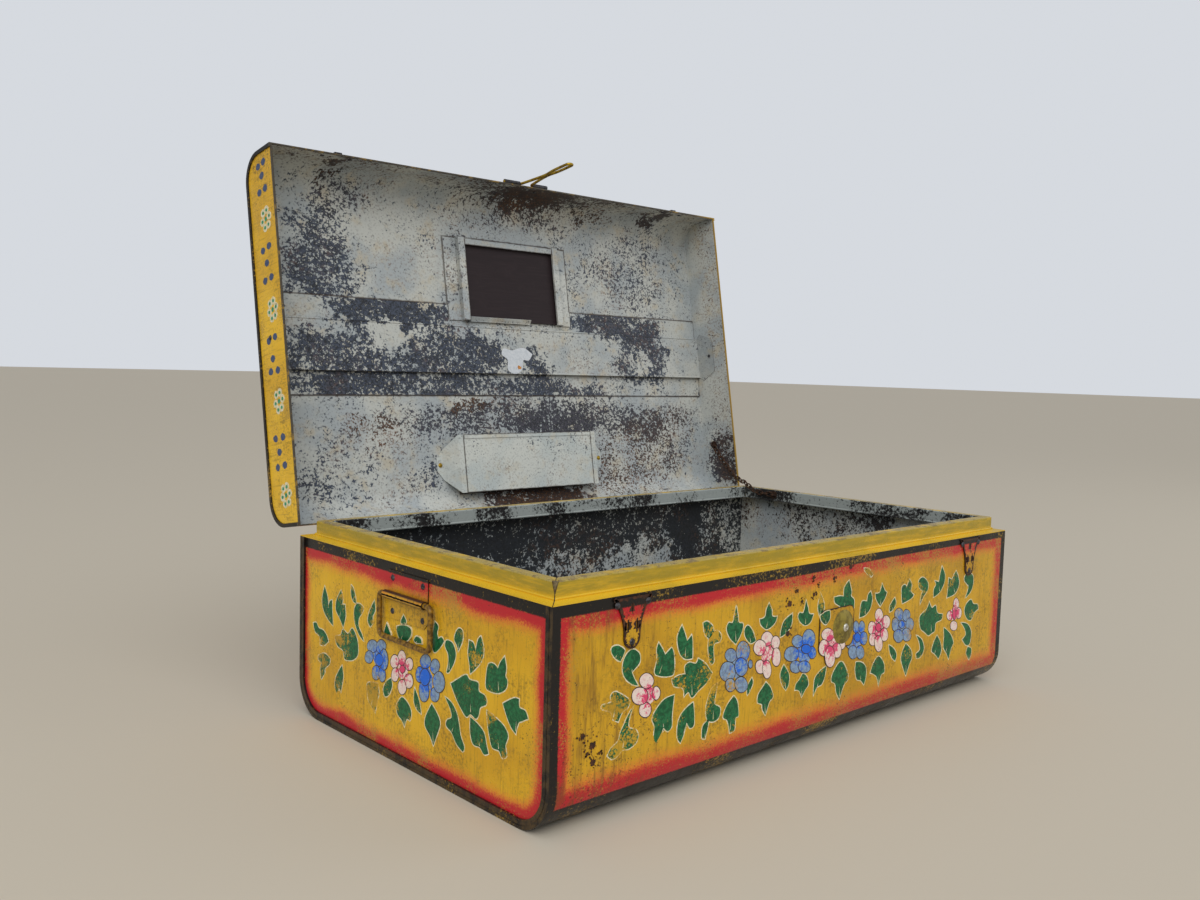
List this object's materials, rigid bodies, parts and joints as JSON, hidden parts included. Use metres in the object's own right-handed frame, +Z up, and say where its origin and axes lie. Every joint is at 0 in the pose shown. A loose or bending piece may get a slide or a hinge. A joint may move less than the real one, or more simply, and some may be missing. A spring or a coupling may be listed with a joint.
{
  "type": "metal trunk",
  "caption": "Painted sheet-steel travelling trunk with a hinged pan lid, wire hasp, end bail handles, and a mirror frame and pocket inside the lid.",
  "frame": {"origin": "centre of the flat underside, on the surface the trunk stands on", "axes": "+X along the length to the right, +Y to the back where the hinges are, +Z up"},
  "size_m": [0.723, 0.5487, 0.6185],
  "materials": {
    "yellow": "worn hand-painted enamel",
    "gold": "worn yellow enamel",
    "mint": "chipped pale enamel",
    "dark": "worn dark paint",
    "brass": "dull, stained",
    "rust": "rusty wire",
    "board": "stained board"
  },
  "bodies": {
    "base": {"base_wrap": "yellow", "base_end_left": "yellow", "base_end_right": "yellow", "collar_front": "gold", "collar_rear": "gold", "collar_left": "gold", "collar_right": "gold", "collar_corner_angles": "mint", "catch_plate_left": "yellow", "catch_plate_right": "yellow", "catch_plate_rivets": "dark", "lock_plate": "yellow", "lock_boss": "brass", "lock_stud": "dark", "handle_plate_left": "yellow", "handle_plate_right": "yellow", "handle_rivets": "dark", "hinge_base_leaves": "yellow", "hinge_pins": "dark", "hinge_base_rivets": "dark", "chain_staple_base": "rust", "stay_chain": "rust"},
    "lid": {"lid_wrap": "mint", "lid_end_left": "yellow", "lid_end_right": "yellow", "lid_stiffener": "mint", "stiffener_rivets": "dark", "mirror_frame_left": "mint", "mirror_frame_right": "mint", "mirror_frame_top": "mint", "mirror_frame_bottom": "mint", "mirror_backing": "board", "pocket_front": "mint", "pocket_side_left": "mint", "pocket_side_right": "mint", "pocket_rivets": "brass", "lid_catch_left": "dark", "lid_catch_right": "dark", "lid_catch_rivets": "dark", "hasp_clip_left": "dark", "hasp_clip_right": "dark", "hasp_clip_rivets": "dark", "hinge_lid_leaves": "yellow", "hinge_lid_rivets": "dark", "chain_staple_lid": "rust"},
    "hasp": {"hasp_loop": "brass"},
    "handle_left": {"handle_bail_left": "brass"},
    "handle_right": {"handle_bail_right": "brass"}
  },
  "joints": [
    {"name": "lid_hinge", "type": "hinge", "parent": "base", "child": "lid", "pos_m": [0, 0.211, 0.189], "axis": [1, 0, 0], "range_deg": [0, 100], "deforming": ["stay_chain"]},
    {"name": "hasp_hinge", "type": "hinge", "parent": "lid", "child": "hasp", "pos_m": [-0.004, 0.28591, 0.60116], "axis": [-1, 0, 0], "range_deg": [0, 170]},
    {"name": "handle_left_swing", "type": "hinge", "parent": "base", "child": "handle_left", "pos_m": [-0.3577, 0, 0.1556], "axis": [0, 1, 0], "range_deg": [0, 170]},
    {"name": "handle_right_swing", "type": "hinge", "parent": "base", "child": "handle_right", "pos_m": [0.3577, 0, 0.1556], "axis": [0, -1, 0], "range_deg": [0, 170]}
  ]
}
